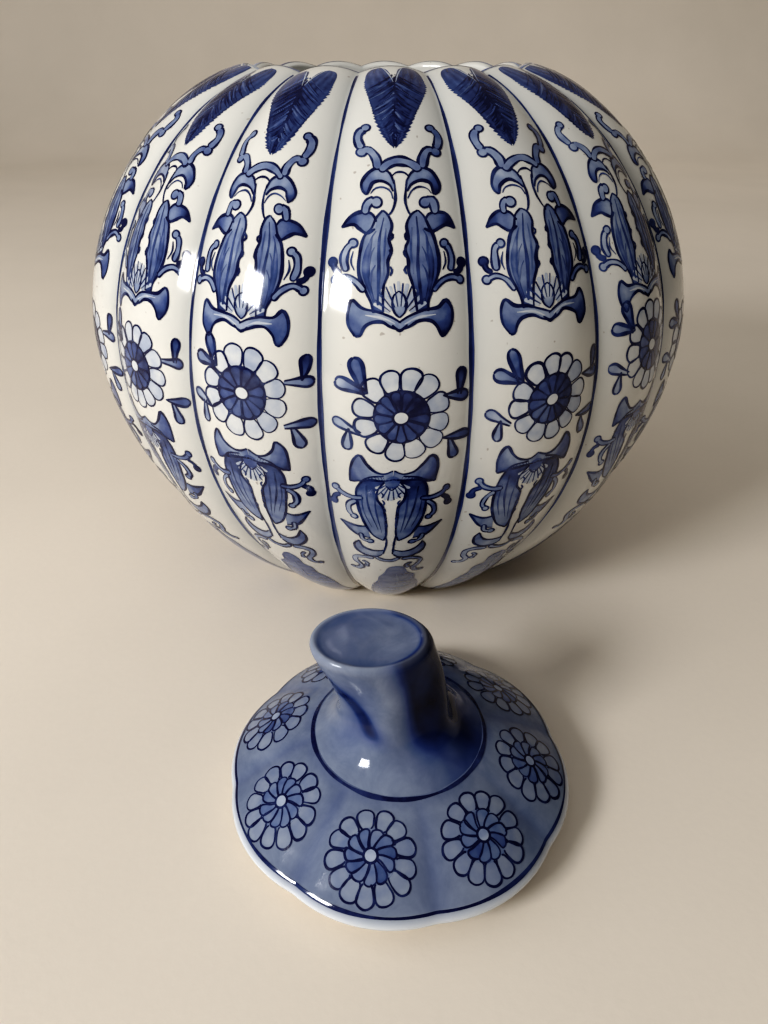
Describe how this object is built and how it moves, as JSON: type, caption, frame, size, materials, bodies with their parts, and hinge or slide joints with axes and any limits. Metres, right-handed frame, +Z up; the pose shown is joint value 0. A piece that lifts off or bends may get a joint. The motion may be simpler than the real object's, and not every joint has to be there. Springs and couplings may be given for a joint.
{
  "type": "lidded jar",
  "caption": "Ribbed melon-shaped porcelain jar with blue painted ribs, and its loose domed lid with a stalk handle lying in front.",
  "frame": {"origin": "centre of the jar's foot ring, on the surface that it stands on", "axes": "+Z up along the jar's axis, -Y from the jar towards the lid that lies in front of it, +X to the right seen from the lid's side"},
  "size_m": [0.25, 0.347, 0.2095],
  "materials": {
    "white_glaze": "glossy clear glaze over white porcelain, painted in cobalt blue",
    "blue_glaze": "glossy clear glaze over a slate-blue cobalt wash",
    "bare_porcelain": "unglazed fired porcelain, matt"
  },
  "bodies": {
    "jar": {"jar_wall_lower": "white_glaze", "jar_wall_upper": "white_glaze", "jar_mouth_collar": "white_glaze", "jar_foot_ring": "bare_porcelain"},
    "lid": {"lid_dome": "blue_glaze", "lid_flange": "bare_porcelain", "lid_stem": "blue_glaze"}
  },
  "joints": [
    {"name": "lid_lift", "type": "slide", "parent": "jar", "child": "lid", "axis": [0, -0.5, 0.866], "range_m": [0, 0.26]}
  ]
}
